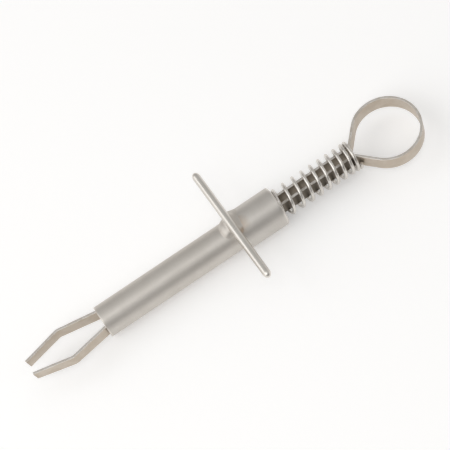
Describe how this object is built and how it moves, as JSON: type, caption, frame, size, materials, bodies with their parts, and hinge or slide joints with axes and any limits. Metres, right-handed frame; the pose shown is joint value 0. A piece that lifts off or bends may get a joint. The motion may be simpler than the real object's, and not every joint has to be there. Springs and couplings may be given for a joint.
{
  "type": "spring-loaded finger gripper",
  "caption": "Small spring-loaded steel gripper: a thumb ring and two bent jaws slide as one strip in a tube with a cross bar for the fingers.",
  "frame": {"origin": "centre of the barrel's mouth, on the tool's axis", "axes": "+X along the tool's axis from the mouth to the thumb ring, +Z towards the side that carries the finger bar, +Y along the finger bar towards the upper jaw"},
  "size_m": [0.0858, 0.0264, 0.0088],
  "materials": {
    "barrel_steel": "satin drawn tube",
    "collar_steel": "satin drawn tube, polished rim",
    "bar_steel": "polished rod",
    "braze_metal": "smooth flowed braze, polished over",
    "spring_wire": "bright spring wire",
    "strip_steel": "rolled strip with bright cut edges"
  },
  "bodies": {
    "barrel": {"barrel_tube": "barrel_steel", "collar": "collar_steel", "finger_bar": "bar_steel", "braze_fillets": "braze_metal", "return_spring": "spring_wire"},
    "plunger": {"thumb_ring": "strip_steel"},
    "upper_jaw_body": {"upper_jaw": "strip_steel"},
    "lower_jaw_body": {"lower_jaw": "strip_steel"}
  },
  "joints": [
    {"name": "plunger_slide", "type": "slide", "parent": "barrel", "child": "plunger", "axis": [-1, 0, 0], "range_m": [-0.0021, 0.004], "stiffness_N_per_m": 1500, "springref_m": -0.0035, "deforming": ["return_spring"]},
    {"name": "upper_jaw_flex", "type": "hinge", "parent": "plunger", "child": "upper_jaw_body", "pos_m": [0.00472, 0.001, 0], "axis": [0, 0, -1], "range_deg": [-3.05, 5.75]},
    {"name": "lower_jaw_flex", "type": "hinge", "parent": "plunger", "child": "lower_jaw_body", "pos_m": [0.00472, -0.001, 0], "axis": [0, 0, 1], "range_deg": [-3.05, 5.75]}
  ],
  "couplings": [
    {"joint": "upper_jaw_flex", "follows": "plunger_slide", "rad_per_m": 24.93},
    {"joint": "lower_jaw_flex", "follows": "plunger_slide", "rad_per_m": 24.93}
  ]
}
